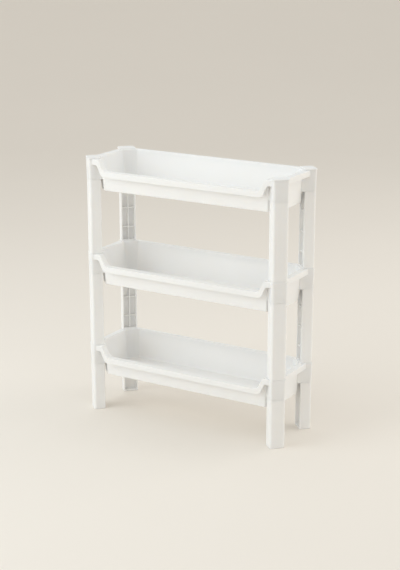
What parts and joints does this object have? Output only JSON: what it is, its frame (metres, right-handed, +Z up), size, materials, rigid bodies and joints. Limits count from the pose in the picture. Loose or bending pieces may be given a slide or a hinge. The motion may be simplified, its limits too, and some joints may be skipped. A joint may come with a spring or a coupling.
{
  "type": "basket shelf unit",
  "caption": "Slim free-standing storage rack of deep moulded trays with low front edges, stacked on push-fit corner posts.",
  "frame": {"origin": "on the floor, under the middle of the rack", "axes": "+X along the rack's length, -Y towards the trays' low front edges, +Z up"},
  "size_m": [0.4214, 0.1454, 0.4905],
  "materials": {
    "tray_plastic": "satin moulded, white",
    "post_plastic": "satin moulded, white",
    "cap_plastic": "satin moulded, white"
  },
  "bodies": {
    "base": {"tray_bottom": "tray_plastic", "leg_front_left": "post_plastic", "leg_front_right": "post_plastic", "leg_back_left": "post_plastic", "leg_back_right": "post_plastic", "post_lower_front_left": "post_plastic", "post_lower_front_right": "post_plastic", "post_lower_back_left": "post_plastic", "post_lower_back_right": "post_plastic"},
    "middle_tier": {"tray_middle": "tray_plastic", "post_upper_front_left": "post_plastic", "post_upper_front_right": "post_plastic", "post_upper_back_left": "post_plastic", "post_upper_back_right": "post_plastic"},
    "top_tier": {"tray_top": "tray_plastic", "cap_front_left": "cap_plastic", "cap_front_right": "cap_plastic", "cap_back_left": "cap_plastic", "cap_back_right": "cap_plastic"}
  },
  "joints": [
    {"name": "lift_middle_tier", "type": "slide", "parent": "base", "child": "middle_tier", "axis": [0, 0, 1], "range_m": [0, 0.045]},
    {"name": "lift_top_tier", "type": "slide", "parent": "middle_tier", "child": "top_tier", "axis": [0, 0, 1], "range_m": [0, 0.045]}
  ]
}
